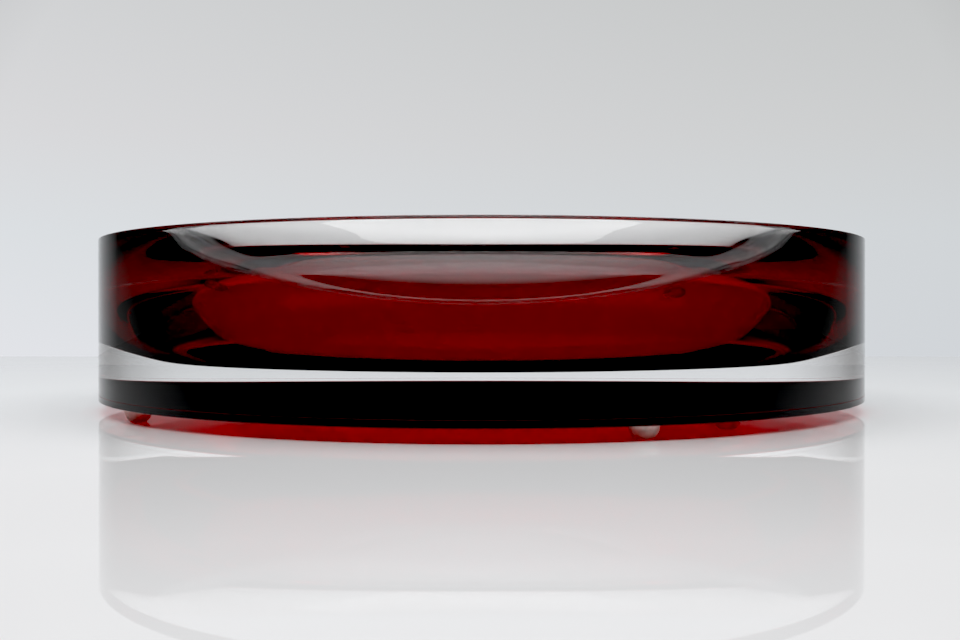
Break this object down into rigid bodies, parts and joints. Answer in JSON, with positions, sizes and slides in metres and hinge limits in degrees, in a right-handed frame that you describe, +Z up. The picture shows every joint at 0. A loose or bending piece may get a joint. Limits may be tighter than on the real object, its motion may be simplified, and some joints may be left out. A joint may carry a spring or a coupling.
{
  "type": "decorative bowl",
  "caption": "Low round display bowl: a thick clear acrylic disc with a wide polished hollow, a thin base sheet with a ruby layer bonded under it, standing on small clear stick-on bumpers.",
  "frame": {"origin": "on the table plane that the bumpers stand on, on the axis of the disc", "axes": "+Z up along the disc's axis, out of the hollow; the front faces -Y; +X to the right seen from the front"},
  "size_m": [0.3556, 0.3556, 0.0755],
  "materials": {
    "clear_acrylic": "polished",
    "clear_sheet": "polished",
    "cement": "gloss",
    "ruby_acrylic": "polished",
    "bumper": "gloss",
    "adhesive": "satin"
  },
  "bodies": {
    "root": {"bowl_body": "clear_acrylic", "bond_film": "cement", "backing_sheet": "clear_sheet", "ruby_sheet": "ruby_acrylic", "bumper_front_left": "bumper", "bumper_front_right": "bumper", "bumper_right": "bumper", "bumper_back_right": "bumper", "bumper_back_left": "bumper", "adhesive_front_left": "adhesive", "adhesive_front_right": "adhesive", "adhesive_right": "adhesive", "adhesive_back_right": "adhesive", "adhesive_back_left": "adhesive"}
  },
  "joints": []
}
